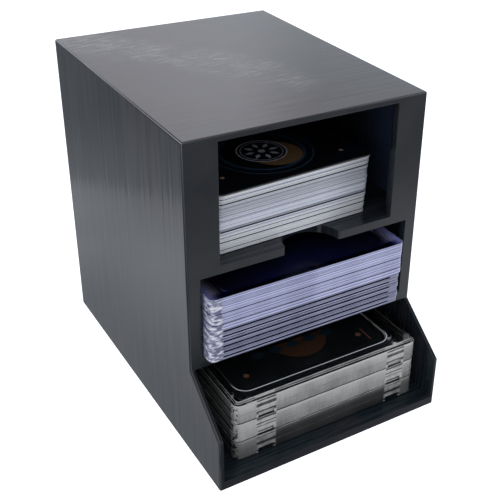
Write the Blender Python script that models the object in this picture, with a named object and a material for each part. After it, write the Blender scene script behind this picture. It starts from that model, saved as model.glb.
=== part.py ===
import bpy
import bmesh
from math import asin, cos, pi, radians, sin
from mathutils import Matrix

# Card storage box: a printed upright housing with three open shelves, filled with a deck of
# cards, twelve card loaders and three clear two-part cases.
# Metres, +Z up, the housing's front faces -Y, and the origin is under the middle of the part.

# Fits shared by all pieces
CLEARANCE = 0.0003
OVERRUN = 0.002
CORNER_STEPS = 4
NOTCH_STEPS = 20
LIP_STEPS = 3
SMOOTH_ANGLE = radians(35)
FLAT_ANGLE = radians(1)

# Playing cards held in the loaders and the cases
CARD_WIDTH = 0.0635
CARD_LENGTH = 0.0889
CARD_THICKNESS = 0.0003
CARD_CORNER = 0.003

# Clear card loaders: two thin sheets joined along both sides and one end
LOADER_COUNT = 12
OPEN_FRONT_COUNT = 6
LOADER_SHEET = 0.0004
LOADER_SIDE_SEAM = 0.00475
LOADER_END_SEAM = 0.003
LOADER_CARD_SIDE_ROOM = 0.0016
LOADER_CARD_END_ROOM = 0.0097
LOADER_CORNER = 0.0020
LOADER_STAGGER = 0.0012
LOADER_FRONT_SHARES = (0.1, -0.3, 0.4, -0.1, 0.5, 0.0, -0.6, 0.3, -0.2, 0.6, -0.3, 0.0)
LOADER_SIDE_SHARES = (-0.80, -0.74, -0.83, -0.72, -0.78, -0.70, -0.52, -0.45, -0.56, -0.43, -0.50, -0.46)

LOADER_POCKET_WIDTH = CARD_WIDTH + 2 * LOADER_CARD_SIDE_ROOM
LOADER_POCKET_HEIGHT = CARD_THICKNESS + 2 * CLEARANCE
LOADER_WIDTH = LOADER_POCKET_WIDTH + 2 * LOADER_SIDE_SEAM
LOADER_LENGTH = LOADER_END_SEAM + CARD_LENGTH + LOADER_CARD_END_ROOM
LOADER_THICKNESS = LOADER_POCKET_HEIGHT + 2 * LOADER_SHEET

# Deck on the top shelf: packets of cards under one loose card
DECK_CARD_WIDTH = 0.061
DECK_CARD_LENGTH = 0.088
DECK_CORNER = 0.0025
DECK_PACKET_THICKNESS = 0.00145
DECK_SETBACK = 0.0066
DECK_STAGGER = 0.0004
DECK_TURN = radians(1.9)
DECK_FAN = radians(1.2)
DECK_SIDE_SHARES = (-0.91, -0.88, -0.83, -0.77, -0.71, -0.65, -0.59, -0.55, -0.51, -0.46, -0.37, -0.26)
DECK_FRONT_SHARES = (-0.4, 0.1, -0.1, 0.3, -0.3, 0.2, 0.0, -0.2, 0.4, -0.1, 0.1, -0.2)
TOP_CARD_SIDE_SHARE = -0.2

# Clear cases: a base that carries the card between pegs and a lid with a raised middle,
# which nests in the hollow under the next case's base
CASE_COUNT = 3
CASE_CORNER = 0.0025
CASE_LEFT_FLANGE = 0.0043
CASE_RIGHT_FLANGE = 0.0083
CASE_END_FLANGE = 0.0047
CASE_BASE_HEIGHT = 0.0033
CASE_LID_HEIGHT = 0.0039
CASE_STEP_INSET = 0.0011
CASE_STEP_HEIGHT = 0.0011
CASE_SIDE_SHARE = 0.3
CASE_SETBACK = 0.0064
WINDOW_LAP = 0.00055
WINDOW_CORNER = 0.005
WINDOW_DEPTH = 0.0005
PEG_RADIUS = 0.0007
PEG_HEIGHT = 0.0013
PEG_MARGIN = 0.0001
PEG_SIDES = 12
SIDE_PEG_INSET = 0.004
END_PEG_INSET = 0.003
CORNER_PEG_INSET = 0.0005
CASE_NOTCH_WIDTH = 0.0062
CASE_NOTCH_HEIGHT = 0.0019
LEFT_NOTCH_INSET = 0.0087
RIGHT_NOTCH_INSET = 0.0063

WINDOW_WIDTH = CARD_WIDTH - 2 * WINDOW_LAP
WINDOW_LENGTH = CARD_LENGTH - 2 * WINDOW_LAP
CASE_WIDTH = CASE_LEFT_FLANGE + WINDOW_WIDTH + CASE_RIGHT_FLANGE
CASE_LENGTH = WINDOW_LENGTH + 2 * CASE_END_FLANGE
CASE_CARD_X = (CASE_LEFT_FLANGE - CASE_RIGHT_FLANGE) / 2

# Housing: three rooms over each other, the lowest open at the front and reaching out as a tray
SIDE_WALL = 0.0016
BACK_WALL = 0.0016
FLOOR = 0.0038
LOWER_ROOM = 0.0328
LOWER_SHELF = 0.004
MIDDLE_ROOM = 0.03
UPPER_SHELF = 0.0033
TOP_ROOM = 0.0421
TOP_WALL = 0.002
FRONT_FRAME = 0.0032
MIDDLE_STILE = 0.0032
LOADER_SIDE_ROOM = 0.0021
LOADER_BACK_ROOM = 0.0113
LOADER_OVERHANG = 0.0045
DECK_SIDE_ROOM = 0.0027
TRAY_REACH = 0.02
TRAY_FRONT_HEIGHT = 0.021
EDGE_CHAMFER = 0.0006
THUMB_NOTCH_RADIUS = 0.01045
THUMB_NOTCH_LIP = 0.0008
THUMB_NOTCH_X = 0.00115

MIDDLE_OPENING = LOADER_WIDTH + 2 * LOADER_SIDE_ROOM
TOP_OPENING = DECK_CARD_WIDTH + 2 * DECK_SIDE_ROOM
INNER_WIDTH = MIDDLE_OPENING + 2 * MIDDLE_STILE
HOUSING_WIDTH = INNER_WIDTH + 2 * SIDE_WALL
HOUSING_DEPTH = LOADER_LENGTH - LOADER_OVERHANG + LOADER_BACK_ROOM + BACK_WALL
LOWER_SHELF_UNDERSIDE = FLOOR + LOWER_ROOM
LOWER_SHELF_TOP = LOWER_SHELF_UNDERSIDE + LOWER_SHELF
UPPER_SHELF_UNDERSIDE = LOWER_SHELF_TOP + MIDDLE_ROOM
UPPER_SHELF_TOP = UPPER_SHELF_UNDERSIDE + UPPER_SHELF
CEILING = UPPER_SHELF_TOP + TOP_ROOM
HOUSING_HEIGHT = CEILING + TOP_WALL

# Where the housing's planes lie, with the whole part centred front to back
TRAY_FRONT_Y = -(HOUSING_DEPTH + TRAY_REACH) / 2
FRONT_Y = TRAY_FRONT_Y + TRAY_REACH
FRAME_BACK_Y = FRONT_Y + FRONT_FRAME
BACK_Y = FRONT_Y + HOUSING_DEPTH
INNER_BACK_Y = BACK_Y - BACK_WALL

for leftover in list(bpy.data.objects):
    bpy.data.objects.remove(leftover, do_unlink=True)

parts = bpy.data.collections.new("card_storage_box")
cutters = bpy.data.collections.new("card_storage_box_cutters")
for collection in (parts, cutters):
    bpy.context.scene.collection.children.link(collection)


def plain_material(name, colour, roughness, metallic=0.0, transmission=0.0):
    material = bpy.data.materials.new(name)
    material.use_nodes = True
    shader = material.node_tree.nodes["Principled BSDF"]
    shader.inputs["Base Color"].default_value = (*colour, 1.0)
    shader.inputs["Roughness"].default_value = roughness
    shader.inputs["Metallic"].default_value = metallic
    shader.inputs["Transmission Weight"].default_value = transmission
    return material


def plate_mesh(name, width, length, thickness, corner=0.0):
    """A plate lying on z = 0, its middle over the origin, its four uprights rounded."""
    shape = bmesh.new()
    bmesh.ops.create_cube(shape, size=1.0)
    bmesh.ops.scale(shape, vec=(width, length, thickness), verts=shape.verts)
    bmesh.ops.translate(shape, vec=(0.0, 0.0, thickness / 2), verts=shape.verts)
    if corner > 0.0:
        uprights = [
            edge for edge in shape.edges
            if abs(edge.verts[0].co.z - edge.verts[1].co.z) > thickness / 2
        ]
        bmesh.ops.bevel(shape, geom=uprights, offset=corner, offset_type="OFFSET",
                        segments=CORNER_STEPS, profile=0.5, affect="EDGES")
    mesh = bpy.data.meshes.new(name)
    shape.to_mesh(mesh)
    shape.free()
    return mesh


def cylinders_mesh(name, places, radius, bottom, top):
    """Upright cylinders of one radius and height, one at each place in plan."""
    shape = bmesh.new()
    for x, y in places:
        made = bmesh.ops.create_cone(shape, cap_ends=True, segments=PEG_SIDES,
                                     radius1=radius, radius2=radius, depth=top - bottom)
        bmesh.ops.translate(shape, vec=(x, y, (bottom + top) / 2), verts=made["verts"])
    mesh = bpy.data.meshes.new(name)
    shape.to_mesh(mesh)
    shape.free()
    return mesh


def add_part(name, mesh, material, location=(0.0, 0.0, 0.0), parent=None, turn=0.0):
    """A finished piece, placed in world coordinates and then hung under its parent."""
    part = bpy.data.objects.new(name, mesh)
    parts.objects.link(part)
    part.location = location
    part.rotation_euler = (0.0, 0.0, turn)
    if not mesh.materials:
        mesh.materials.append(material)
    if parent:
        bpy.context.view_layer.update()
        part.parent = parent
        part.matrix_parent_inverse = parent.matrix_world.inverted()
    return part


def add_empty(name, location):
    empty = bpy.data.objects.new(name, None)
    parts.objects.link(empty)
    empty.location = location
    return empty


def add_cutter(name, mesh, location=(0.0, 0.0, 0.0)):
    cutter = bpy.data.objects.new(name, mesh)
    cutters.objects.link(cutter)
    cutter.location = location
    cutter.hide_render = True
    cutter.display_type = "WIRE"
    return cutter


def combine(target, tool, operation="DIFFERENCE"):
    boolean = target.modifiers.new(tool.name, "BOOLEAN")
    boolean.solver = "EXACT"
    boolean.operation = operation
    boolean.object = tool


def evaluated_mesh(source):
    bpy.context.view_layer.update()
    depsgraph = bpy.context.evaluated_depsgraph_get()
    return bpy.data.meshes.new_from_object(source.evaluated_get(depsgraph))


def bake(name, blank, steps):
    """Cut and join a blank with its tools, and return one mesh that every copy can share."""
    work = add_cutter(name + "_blank", blank)
    tools = []
    for step_name, mesh, location, operation in steps:
        tool = add_cutter(name + "_" + step_name, mesh, location)
        combine(work, tool, operation)
        tools.append(tool)
    mesh = evaluated_mesh(work)
    mesh.name = name
    for spent in [work, *tools]:
        bpy.data.objects.remove(spent, do_unlink=True)
    mesh.shade_smooth()
    mesh.set_sharp_from_angle(angle=SMOOTH_ANGLE)
    return mesh


def outline_solid(name, points, half_depth, chamfer=0.0):
    """A flat outline filled and drawn out to both sides of its plane, as a welded mesh."""
    curve = bpy.data.curves.new(name + "_outline", "CURVE")
    curve.dimensions = "2D"
    curve.fill_mode = "BOTH"
    curve.extrude = half_depth
    spline = curve.splines.new("POLY")
    spline.points.add(len(points) - 1)
    for point, (u, v) in zip(spline.points, points):
        point.co = (u, v, 0.0, 1.0)
    spline.use_cyclic_u = True
    guide = bpy.data.objects.new(name + "_outline", curve)
    cutters.objects.link(guide)
    mesh = evaluated_mesh(guide)
    bpy.data.objects.remove(guide, do_unlink=True)
    shape = bmesh.new()
    shape.from_mesh(mesh)
    bmesh.ops.remove_doubles(shape, verts=shape.verts, dist=CLEARANCE / 10)
    bmesh.ops.recalc_face_normals(shape, faces=shape.faces)
    bmesh.ops.dissolve_limit(shape, angle_limit=FLAT_ANGLE, verts=shape.verts, edges=shape.edges)
    if chamfer > 0.0:
        outer_edges = [edge for edge in shape.edges if edge.is_convex]
        bmesh.ops.bevel(shape, geom=outer_edges, offset=chamfer, offset_type="OFFSET",
                        segments=1, profile=0.5, affect="EDGES")
    shape.to_mesh(mesh)
    shape.free()
    mesh.name = name
    return mesh


# Housing: one print. Its side outline is drawn in the Y-Z plane and turned upright.
charcoal_print = plain_material("charcoal_print", (0.045, 0.047, 0.05), 0.62)

side_outline = (
    (TRAY_FRONT_Y, 0.0),
    (BACK_Y, 0.0),
    (BACK_Y, HOUSING_HEIGHT),
    (FRONT_Y, HOUSING_HEIGHT),
    (FRONT_Y, LOWER_SHELF_UNDERSIDE),
    (TRAY_FRONT_Y, TRAY_FRONT_HEIGHT),
)
housing_mesh = outline_solid("housing", side_outline, HOUSING_WIDTH / 2, EDGE_CHAMFER)
housing = add_part("housing", housing_mesh, charcoal_print)
housing.rotation_euler = (pi / 2, 0.0, pi / 2)


def cut_room(name, opening, bottom, height):
    """Hollow a room out between the inner walls, then cut its opening through the front frame."""
    room_length = INNER_BACK_Y - FRAME_BACK_Y
    room_mesh = plate_mesh(name, INNER_WIDTH, room_length, height)
    room_y = FRAME_BACK_Y + room_length / 2
    combine(housing, add_cutter(name, room_mesh, (0.0, room_y, bottom)))
    opening_mesh = plate_mesh(name + "_opening", opening, FRONT_FRAME + 2 * OVERRUN, height)
    opening_y = FRONT_Y + FRONT_FRAME / 2
    combine(housing, add_cutter(name + "_opening", opening_mesh, (0.0, opening_y, bottom)))


cut_room("top_room", TOP_OPENING, UPPER_SHELF_TOP, TOP_ROOM)
cut_room("middle_room", MIDDLE_OPENING, LOWER_SHELF_TOP, MIDDLE_ROOM)

lower_room_length = INNER_BACK_Y - TRAY_FRONT_Y + OVERRUN
lower_room_mesh = plate_mesh("lower_room", INNER_WIDTH, lower_room_length, LOWER_ROOM)
lower_room_y = INNER_BACK_Y - lower_room_length / 2
combine(housing, add_cutter("lower_room", lower_room_mesh, (0.0, lower_room_y, FLOOR)))


def arc_points(centre_u, centre_v, radius, start, end, steps):
    """Points along an arc from one angle to the other, both ends included."""
    angles = [start + (end - start) * step / steps for step in range(steps + 1)]
    return [(centre_u + radius * cos(angle), centre_v + radius * sin(angle)) for angle in angles]


# Thumb notch: a half circle in plan, whose ends run out to the front face over small round lips
lip_reach = THUMB_NOTCH_RADIUS + THUMB_NOTCH_LIP
lip_angle = asin(THUMB_NOTCH_LIP / lip_reach)
lip_u = lip_reach * cos(lip_angle)
thumb_notch_outline = (
    [(-lip_u, -OVERRUN), (lip_u, -OVERRUN)]
    + arc_points(lip_u, THUMB_NOTCH_LIP, THUMB_NOTCH_LIP, pi * 3 / 2, pi + lip_angle, LIP_STEPS)
    + arc_points(0.0, 0.0, THUMB_NOTCH_RADIUS, lip_angle, pi - lip_angle, NOTCH_STEPS)
    + arc_points(-lip_u, THUMB_NOTCH_LIP, THUMB_NOTCH_LIP, -lip_angle, -pi / 2, LIP_STEPS)
)
thumb_notch_mesh = outline_solid("thumb_notch", thumb_notch_outline, UPPER_SHELF / 2 + OVERRUN)
thumb_notch_place = (THUMB_NOTCH_X, FRONT_Y, UPPER_SHELF_UNDERSIDE + UPPER_SHELF / 2)
combine(housing, add_cutter("thumb_notch", thumb_notch_mesh, thumb_notch_place))

# Deck: twelve packets of cards and the loose card on top, fanned a little about their front edge
white_card_edge = plain_material("white_card_edge", (0.78, 0.77, 0.82), 0.5)
black_card_face = plain_material("black_card_face", (0.02, 0.02, 0.025), 0.3)

deck_front_y = FRONT_Y + DECK_SETBACK
deck_bottom = UPPER_SHELF_TOP + CLEARANCE
deck_pitch = DECK_PACKET_THICKNESS + CLEARANCE
packet_mesh = bake("deck_packet", plate_mesh("deck_packet", DECK_CARD_WIDTH, DECK_CARD_LENGTH,
                                             DECK_PACKET_THICKNESS, DECK_CORNER), ())
top_card_mesh = bake("deck_top_card", plate_mesh("deck_top_card", DECK_CARD_WIDTH, DECK_CARD_LENGTH,
                                                 CARD_THICKNESS, DECK_CORNER), ())
for mesh in (packet_mesh, top_card_mesh):
    mesh.transform(Matrix.Translation((0.0, DECK_CARD_LENGTH / 2, 0.0)))
packet_count = len(DECK_SIDE_SHARES)
deck = add_empty("deck", (DECK_SIDE_SHARES[0] * DECK_SIDE_ROOM, deck_front_y, deck_bottom))
deck.rotation_euler = (0.0, 0.0, DECK_TURN)
for index, (side_share, front_share) in enumerate(zip(DECK_SIDE_SHARES, DECK_FRONT_SHARES)):
    packet_place = (
        side_share * DECK_SIDE_ROOM,
        deck_front_y + front_share * DECK_STAGGER,
        deck_bottom + index * deck_pitch,
    )
    packet_turn = DECK_TURN + DECK_FAN * index / packet_count
    add_part(f"deck_packet_{index + 1:02d}", packet_mesh, white_card_edge, packet_place, deck, packet_turn)
top_card_place = (
    TOP_CARD_SIDE_SHARE * DECK_SIDE_ROOM,
    deck_front_y,
    deck_bottom + packet_count * deck_pitch,
)
add_part("deck_top_card", top_card_mesh, black_card_face, top_card_place, deck, DECK_TURN + DECK_FAN)

# Loaders: the lower ones have their open end at the front, the upper ones at the back
lavender_vinyl = plain_material("lavender_vinyl", (0.72, 0.72, 0.9), 0.15, transmission=0.8)
navy_card = plain_material("navy_card", (0.03, 0.035, 0.08), 0.35)

pocket_length = LOADER_LENGTH - LOADER_END_SEAM + OVERRUN
pocket_mesh = plate_mesh("loader_pocket", LOADER_POCKET_WIDTH, pocket_length, LOADER_POCKET_HEIGHT)
pocket_place = (0.0, LOADER_LENGTH / 2 + OVERRUN - pocket_length / 2, LOADER_SHEET)
loader_blank = plate_mesh("loader_blank", LOADER_WIDTH, LOADER_LENGTH, LOADER_THICKNESS, LOADER_CORNER)
loader_mesh = bake("toploader", loader_blank, (("pocket", pocket_mesh, pocket_place, "DIFFERENCE"),))
card_mesh = bake("card", plate_mesh("card", CARD_WIDTH, CARD_LENGTH, CARD_THICKNESS, CARD_CORNER), ())
loader_card_mesh = card_mesh.copy()

loader_middle_y = FRONT_Y - LOADER_OVERHANG + LOADER_LENGTH / 2
loader_pitch = LOADER_THICKNESS + CLEARANCE
card_from_closed_end = LOADER_END_SEAM + CLEARANCE + CARD_LENGTH / 2
for index in range(LOADER_COUNT):
    share_index = index % len(LOADER_FRONT_SHARES)
    open_front = index < OPEN_FRONT_COUNT
    loader_x = LOADER_SIDE_SHARES[share_index] * LOADER_SIDE_ROOM
    loader_y = loader_middle_y + LOADER_FRONT_SHARES[share_index] * LOADER_STAGGER
    loader_z = LOWER_SHELF_TOP + CLEARANCE + index * loader_pitch
    loader = add_part(f"toploader_{index + 1:02d}", loader_mesh, lavender_vinyl,
                      (loader_x, loader_y, loader_z), turn=pi if open_front else 0.0)
    closed_end = 1 if open_front else -1
    card_y = loader_y + closed_end * (LOADER_LENGTH / 2 - card_from_closed_end)
    card_z = loader_z + LOADER_SHEET + CLEARANCE
    add_part(f"toploader_card_{index + 1:02d}", loader_card_mesh, navy_card,
             (loader_x, card_y, card_z), loader)

# Cases: base, card and lid, three of them nested on the tray's floor
clear_acrylic = plain_material("clear_acrylic", (0.85, 0.86, 0.84), 0.08, transmission=0.9)
black_card = plain_material("black_card", (0.015, 0.015, 0.02), 0.3)

half_card_width = CARD_WIDTH / 2
half_card_length = CARD_LENGTH / 2
peg_reach = CLEARANCE + PEG_MARGIN + PEG_RADIUS
peg_places = []
for end in (-1, 1):
    side_y = end * (half_card_length - SIDE_PEG_INSET)
    end_y = end * (half_card_length + peg_reach)
    corner_y = end * (half_card_length - CORNER_PEG_INSET)
    peg_places.append((CASE_CARD_X - half_card_width - peg_reach, side_y))
    peg_places.append((CASE_CARD_X - half_card_width + END_PEG_INSET, end_y))
    peg_places.append((CASE_CARD_X + half_card_width + peg_reach, side_y))
    peg_places.append((CASE_CARD_X + half_card_width + peg_reach, corner_y))

step_width = CASE_WIDTH - 2 * CASE_STEP_INSET
step_length = CASE_LENGTH - 2 * CASE_STEP_INSET
step_corner = max(CASE_CORNER - CASE_STEP_INSET, CLEARANCE)
card_pocket_depth = CARD_THICKNESS + CLEARANCE
card_floor = CASE_BASE_HEIGHT - card_pocket_depth
notch_half = CASE_NOTCH_WIDTH / 2
left_notch_x = -CASE_WIDTH / 2 + LEFT_NOTCH_INSET + notch_half
right_notch_x = CASE_WIDTH / 2 - RIGHT_NOTCH_INSET - notch_half
notch_length = CASE_STEP_INSET + OVERRUN
notch_y = -CASE_LENGTH / 2 - OVERRUN + notch_length / 2
notch_mesh = plate_mesh("case_notch", CASE_NOTCH_WIDTH, notch_length, CASE_NOTCH_HEIGHT + OVERRUN)

base_steps = (
    ("nest", plate_mesh("nest", step_width + 2 * CLEARANCE, step_length + 2 * CLEARANCE,
                        CASE_STEP_HEIGHT + CLEARANCE + OVERRUN, step_corner + CLEARANCE),
     (0.0, 0.0, -OVERRUN), "DIFFERENCE"),
    ("card_pocket", plate_mesh("card_pocket", CARD_WIDTH + 2 * CLEARANCE, CARD_LENGTH + 2 * CLEARANCE,
                               card_pocket_depth + OVERRUN, CARD_CORNER + CLEARANCE),
     (CASE_CARD_X, 0.0, card_floor), "DIFFERENCE"),
    ("left_notch", notch_mesh, (left_notch_x, notch_y, -OVERRUN), "DIFFERENCE"),
    ("right_notch", notch_mesh, (right_notch_x, notch_y, -OVERRUN), "DIFFERENCE"),
    ("pegs", cylinders_mesh("pegs", peg_places, PEG_RADIUS, CASE_BASE_HEIGHT - card_pocket_depth / 2,
                            CASE_BASE_HEIGHT + PEG_HEIGHT), (0.0, 0.0, 0.0), "UNION"),
)
base_blank = plate_mesh("case_base_blank", CASE_WIDTH, CASE_LENGTH, CASE_BASE_HEIGHT, CASE_CORNER)
case_base_mesh = bake("case_base", base_blank, base_steps)

lid_top = CASE_LID_HEIGHT + CASE_STEP_HEIGHT
lid_steps = (
    ("step", plate_mesh("step", step_width, step_length, lid_top - CASE_LID_HEIGHT / 2, step_corner),
     (0.0, 0.0, CASE_LID_HEIGHT / 2), "UNION"),
    ("window", plate_mesh("window", WINDOW_WIDTH, WINDOW_LENGTH, WINDOW_DEPTH + OVERRUN, WINDOW_CORNER),
     (CASE_CARD_X, 0.0, lid_top - WINDOW_DEPTH), "DIFFERENCE"),
    ("sockets", cylinders_mesh("sockets", peg_places, PEG_RADIUS + CLEARANCE, -OVERRUN, PEG_HEIGHT),
     (0.0, 0.0, 0.0), "DIFFERENCE"),
)
lid_blank = plate_mesh("case_lid_blank", CASE_WIDTH, CASE_LENGTH, CASE_LID_HEIGHT, CASE_CORNER)
case_lid_mesh = bake("case_lid", lid_blank, lid_steps)

case_x = CASE_SIDE_SHARE * (INNER_WIDTH - CASE_WIDTH) / 2
case_y = TRAY_FRONT_Y + CASE_SETBACK + CASE_LENGTH / 2
case_pitch = CASE_BASE_HEIGHT + CLEARANCE + CASE_LID_HEIGHT + CLEARANCE
case_below = None
for index in range(CASE_COUNT):
    case_z = FLOOR + CLEARANCE + index * case_pitch
    base = add_part(f"case_base_{index + 1}", case_base_mesh, clear_acrylic,
                    (case_x, case_y, case_z), case_below)
    add_part(f"case_card_{index + 1}", card_mesh, black_card,
             (case_x + CASE_CARD_X, case_y, case_z + card_floor + CLEARANCE), base)
    add_part(f"case_lid_{index + 1}", case_lid_mesh, clear_acrylic,
             (case_x, case_y, case_z + CASE_BASE_HEIGHT + CLEARANCE), base)
    case_below = base
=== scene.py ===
from math import cos, pi, radians, sin
from random import Random

import bmesh
import bpy
from mathutils import Matrix, Vector


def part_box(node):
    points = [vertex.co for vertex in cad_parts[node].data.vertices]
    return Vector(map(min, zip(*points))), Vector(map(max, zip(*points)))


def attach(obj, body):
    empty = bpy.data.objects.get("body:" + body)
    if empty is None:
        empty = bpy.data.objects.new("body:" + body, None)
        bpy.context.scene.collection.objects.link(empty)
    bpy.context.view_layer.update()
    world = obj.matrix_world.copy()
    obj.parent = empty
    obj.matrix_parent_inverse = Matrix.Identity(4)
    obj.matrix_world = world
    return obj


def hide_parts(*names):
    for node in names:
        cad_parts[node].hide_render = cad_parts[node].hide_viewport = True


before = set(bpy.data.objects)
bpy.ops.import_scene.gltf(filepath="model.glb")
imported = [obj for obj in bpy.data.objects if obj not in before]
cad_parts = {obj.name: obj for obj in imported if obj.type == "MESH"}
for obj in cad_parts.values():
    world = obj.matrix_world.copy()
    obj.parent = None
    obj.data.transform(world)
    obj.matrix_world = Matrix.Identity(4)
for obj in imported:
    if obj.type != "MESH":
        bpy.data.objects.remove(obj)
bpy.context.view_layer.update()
scene = bpy.context.scene
MM = 0.001

# Housing: one upright print in charcoal plastic, laid down layer by layer from its front face to
# its back, so fine layer lines run round the sides and top and the front shows a slanting hatch.
# Its outer edges are chamfered; here every edge also gets the small round that a nozzle leaves.
HOUSING_EDGE_ROUND = 0.2 * MM
LAYER_PITCH = 0.45 * MM
LAYER_BAND = 1.6 * MM
LAYER_TILT = 0.06
LAYER_RELIEF = 0.006 * MM
LAYER_PALENESS = 0.115
HATCH_PITCH = 0.8 * MM
SCUFF_AND_SHEEN_BAND_PLACE = 5.3 * MM
SCUFF_RELIEF = 4.0
SHEEN_BAND_PALENESS = 0.22
PRINT_COOL = (0.003, 0.012, 0.017)
PRINT_WARM = (0.010, 0.012, 0.018)
PRINT_FRONT = (0.007, 0.0095, 0.013)
PRINT_SCUFF_AND_SHEEN = (0.125, 0.125, 0.13)
PRINT_EDGE = (0.06, 0.06, 0.065)
PRINT_TOP = (0.022, 0.006, 0.010)
PRINT_EDGE_HIGHLIGHT = (0.30, 0.30, 0.32)
PRINT_ROOM = (0.045, 0.060, 0.115)
PRINT_ROUGHNESS = 0.15
PRINT_IOR = 1.4
SHARP_EDGE = radians(38)


def new_material(name):
    material = bpy.data.materials.new(name)
    material.use_nodes = True
    return material, material.node_tree, material.node_tree.nodes["Principled BSDF"]


def put(tree, kind, feeds=None, **settings):
    """Adds a node, feeds its inputs with sockets or plain values and returns its first output."""
    made = tree.nodes.new(kind)
    for key, value in settings.items():
        setattr(made, key, value)
    for key, value in (feeds or {}).items():
        if isinstance(value, bpy.types.NodeSocket):
            tree.links.new(value, made.inputs[key])
        else:
            made.inputs[key].default_value = value
    return made.outputs[0]


def math(tree, operation, *values):
    return put(tree, "ShaderNodeMath", dict(enumerate(values)), operation=operation)


def product(tree, *factors):
    """All the factors multiplied, in their order."""
    total = factors[0]
    for factor in factors[1:]:
        total = math(tree, "MULTIPLY", total, factor)
    return total


def distance(tree, value, middle):
    return math(tree, "ABSOLUTE", math(tree, "SUBTRACT", value, middle))


def between(tree, share, first, second):
    """The first number where the share is 0, the second where it is 1."""
    return put(tree, "ShaderNodeMix", {0: share, 2: first, 3: second}, data_type="FLOAT")


def ramp(tree, value, low, high, start=0.0, end=1.0):
    """The value's place between low and high, smoothed, given out between start and end."""
    feeds = {"Value": value, "From Min": low, "From Max": high, "To Min": start, "To Max": end}
    return put(tree, "ShaderNodeMapRange", feeds, interpolation_type="SMOOTHSTEP")


def blend_colours(tree, share, first, second):
    made = tree.nodes.new("ShaderNodeMix")
    made.data_type = "RGBA"
    for key, value in (("Factor", share), ("A", first), ("B", second)):
        socket = next(s for s in made.inputs if s.name == key and (s.type == "RGBA") == (key != "Factor"))
        if isinstance(value, bpy.types.NodeSocket):
            tree.links.new(value, socket)
        else:
            socket.default_value = value if key == "Factor" else (*value, 1.0)
    return next(s for s in made.outputs if s.type == "RGBA")


def place_axes(tree):
    """The surface point's X, Y and Z in metres."""
    place = put(tree, "ShaderNodeTexCoord")
    place = place.node.outputs["Object"]
    apart = put(tree, "ShaderNodeSeparateXYZ", {0: place}).node
    return place, apart.outputs[0], apart.outputs[1], apart.outputs[2]


def facing_axes(tree):
    """How far the surface faces along X, Y and Z."""
    facing = put(tree, "ShaderNodeNewGeometry").node.outputs["Normal"]
    return put(tree, "ShaderNodeSeparateXYZ", {0: facing}).node.outputs


def stretch(tree, place, *scales):
    return put(tree, "ShaderNodeVectorMath", {0: place, 1: scales}, operation="MULTIPLY")


def cloud(tree, place, size, detail=2.0, roughness=0.5):
    return put(tree, "ShaderNodeTexNoise", {"Vector": place, "Scale": 1.0 / size, "Detail": detail,
                                            "Roughness": roughness})


def lines(tree, along, size, detail=1.0):
    """Soft lines of uneven strength, straight across one coordinate."""
    made = put(tree, "ShaderNodeTexNoise", noise_dimensions="1D").node
    tree.links.new(along, made.inputs["W"])
    made.inputs["Scale"].default_value = 1.0 / size
    made.inputs["Detail"].default_value = detail
    return made.outputs[0]


def solid_copy(node, name):
    """The node's solid as a new piece, with its loose triangles joined into flat faces."""
    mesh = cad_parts[node].data.copy()
    mesh.materials.clear()
    shape = bmesh.new()
    shape.from_mesh(mesh)
    bmesh.ops.remove_doubles(shape, verts=shape.verts, dist=0.001 * MM)
    bmesh.ops.dissolve_limit(shape, angle_limit=radians(0.5), verts=shape.verts, edges=shape.edges)
    shape.to_mesh(mesh)
    shape.free()
    piece = bpy.data.objects.new(name, mesh)
    scene.collection.objects.link(piece)
    return piece


def settle(piece):
    """Turns the piece's live modifiers into plain mesh."""
    bpy.context.view_layer.update()
    depsgraph = bpy.context.evaluated_depsgraph_get()
    mesh = bpy.data.meshes.new_from_object(piece.evaluated_get(depsgraph))
    mesh.name = piece.name
    piece.modifiers.clear()
    piece.data = mesh
    return piece


def round_edges(piece, width, segments=2):
    piece.data.shade_smooth()
    bevel = piece.modifiers.new("edge_round", "BEVEL")
    bevel.width = width
    bevel.segments = segments
    bevel.limit_method = "ANGLE"
    bevel.angle_limit = SHARP_EDGE
    even = piece.modifiers.new("flat_faces_stay_flat", "WEIGHTED_NORMAL")
    even.mode = "FACE_AREA"
    even.weight = 100
    even.keep_sharp = True
    return settle(piece)


charcoal_print, tree, shader = new_material("charcoal_print")
place, x, y, z = place_axes(tree)
facing_x, facing_y, facing_z = facing_axes(tree)
front_share = ramp(tree, math(tree, "ABSOLUTE", facing_y), 0.75, 0.95)
top_share = ramp(tree, facing_z, 0.75, 0.95)
squareness = math(tree, "MAXIMUM", math(tree, "ABSOLUTE", facing_x), math(tree, "ABSOLUTE", facing_z))
squareness = math(tree, "MAXIMUM", squareness, math(tree, "ABSOLUTE", facing_y))
edge_share = ramp(tree, squareness, 0.77, 0.73)

# Layer lines across Y on the sides and top, and the slanting hatch of the first layer on the front
fine_lines = ramp(tree, lines(tree, y, LAYER_PITCH), 0.3, 0.7)
bands = ramp(tree, cloud(tree, stretch(tree, place, 0.05, 1.0, 0.05), LAYER_BAND, 3.0), 0.40, 0.60)
layers = math(tree, "ADD", product(tree, fine_lines, 0.6), bands)
hatch_run = math(tree, "DIVIDE", math(tree, "SUBTRACT", x, z), HATCH_PITCH * 2 ** 0.5)
hatch_fade = ramp(tree, cloud(tree, place, 16 * MM), 0.4, 0.62, 0.15, 1.0)
hatch = product(tree, math(tree, "PINGPONG", hatch_run, 0.5), 2.0, hatch_fade)
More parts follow.
